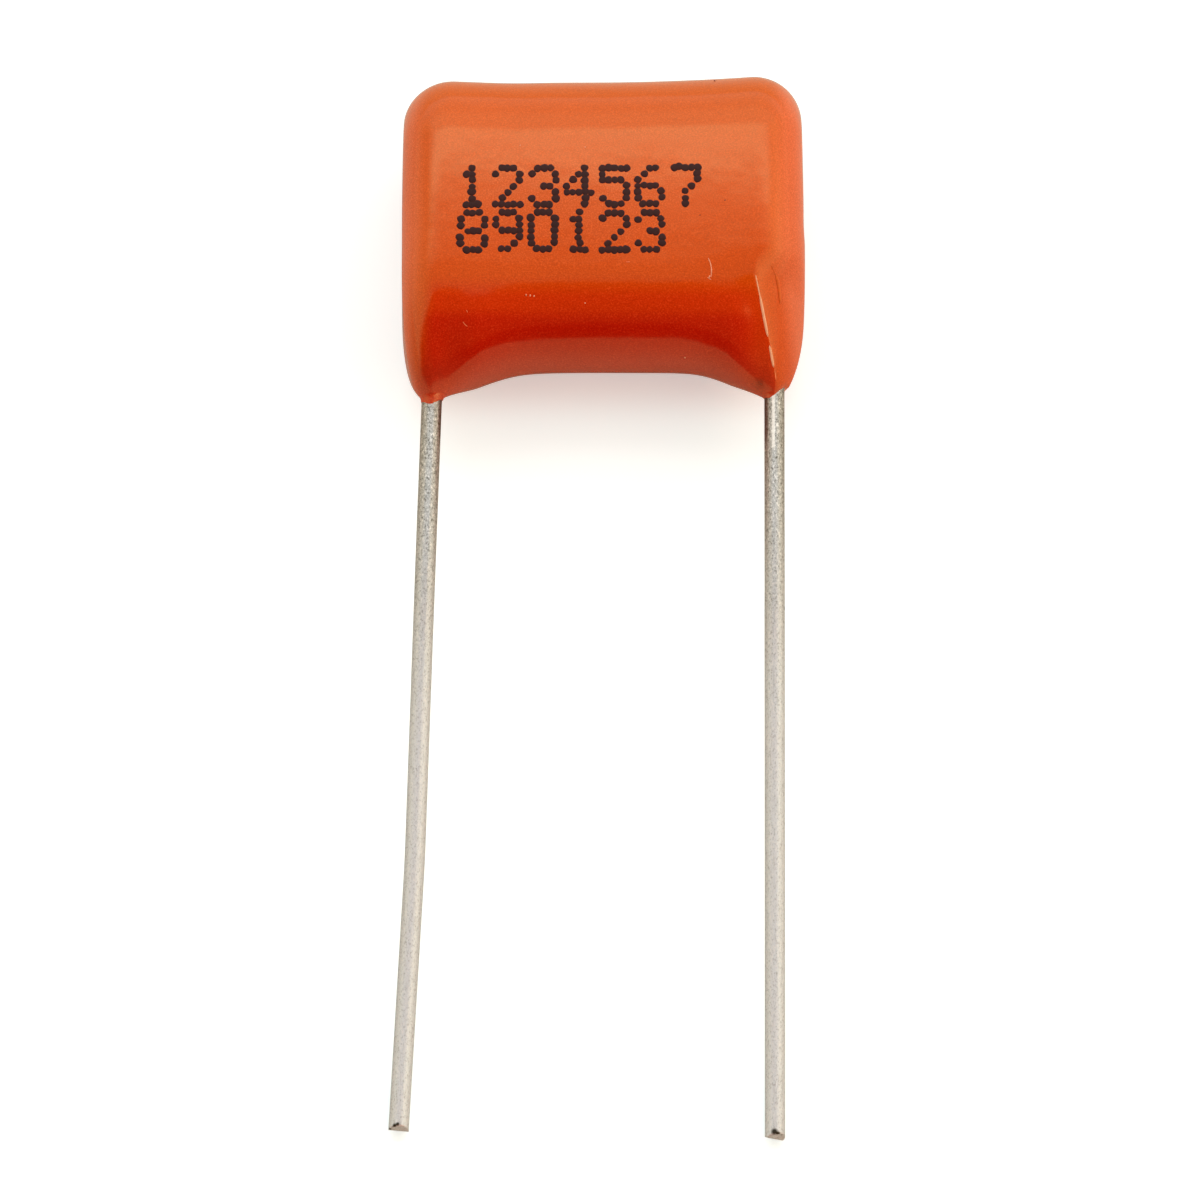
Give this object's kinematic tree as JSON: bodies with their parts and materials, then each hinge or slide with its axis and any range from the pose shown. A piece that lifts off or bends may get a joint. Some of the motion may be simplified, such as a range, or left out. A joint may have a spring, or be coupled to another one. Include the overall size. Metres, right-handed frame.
{
  "type": "polypropylene film capacitor",
  "caption": "Dipped polypropylene film capacitor: flat-wound element in a glossy orange epoxy coating with radial tinned wire leads, one of them splayed a little.",
  "frame": {"origin": "centre of the flat back face, on the surface the capacitor lies on", "axes": "+X along the lead pitch, +Y along the body away from the leads, +Z out of the flat back toward the marked face"},
  "size_m": [0.0122, 0.0318, 0.005],
  "materials": {
    "coating": "dipped epoxy, glossy orange, slightly uneven",
    "film": "wound translucent polypropylene film, metallised inside",
    "sprayed_metal": "arc-sprayed zinc, grey and grainy",
    "lead": "tinned wire, dull, fine draw lines",
    "ink": "dark ink-jet dots"
  },
  "bodies": {
    "root": {"epoxy_coating": "coating", "outer_wrap": "film", "film_winding": "film", "end_contact_left": "sprayed_metal", "end_contact_right": "sprayed_metal", "lead_left": "lead", "lead_right": "lead"}
  },
  "joints": []
}
